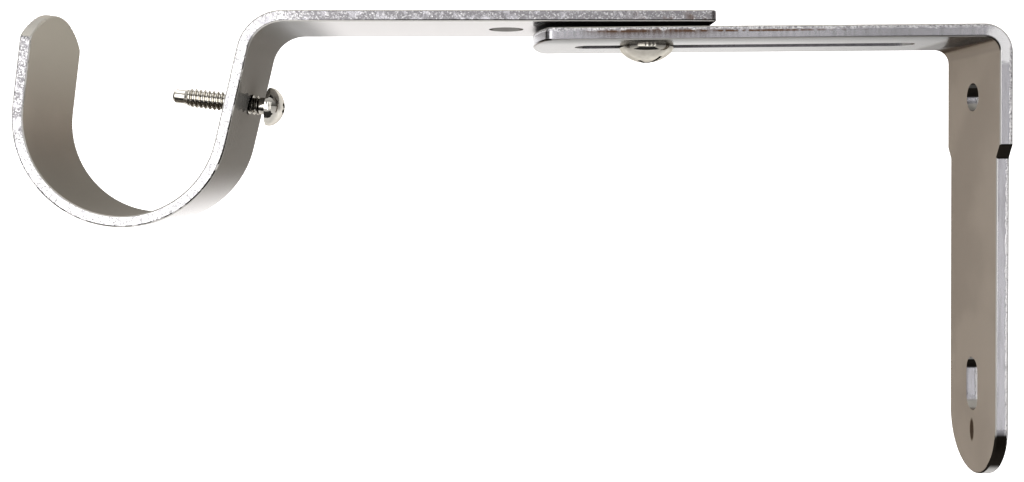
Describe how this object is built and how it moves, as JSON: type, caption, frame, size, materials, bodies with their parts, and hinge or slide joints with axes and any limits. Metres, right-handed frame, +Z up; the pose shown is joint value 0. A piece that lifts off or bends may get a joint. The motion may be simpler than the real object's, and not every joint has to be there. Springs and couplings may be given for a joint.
{
  "type": "curtain pole bracket",
  "caption": "Adjustable wall bracket for a curtain pole: a hook strip slides along a slotted L-shaped wall strip, with a lock screw and a screw that holds the pole in its cup.",
  "frame": {"origin": "centre of the upper wall hole, on the face that lies against the wall", "axes": "+X into the wall, so the arms and the cup reach out along -X; +Y along the pole; +Z up"},
  "size_m": [0.1718, 0.023, 0.0849],
  "materials": {
    "nickel_strip": "satin nickel plate on sheared and bent steel strip",
    "bright_screw": "bright nickel plate on steel machine screws"
  },
  "bodies": {
    "wall_bracket": {"wall_arm": "nickel_strip"},
    "lock": {"lock_screw": "bright_screw"},
    "hook": {"hook_arm": "nickel_strip"},
    "pole_stop": {"rod_screw": "bright_screw"}
  },
  "joints": [
    {"name": "projection_slide", "type": "slide", "parent": "wall_bracket", "child": "lock", "axis": [1, 0, 0], "range_m": [-0.0105, 0.04619]},
    {"name": "hook_swivel", "type": "hinge", "parent": "lock", "child": "hook", "pos_m": [-0.06169, 0, 0.012], "axis": [0, 0, 1], "range_deg": [-90, 90]},
    {"name": "rod_screw_advance", "type": "slide", "parent": "hook", "child": "pole_stop", "axis": [-0.9921, 0, 0.1253], "range_m": [-0.0104, 0.0026]}
  ]
}
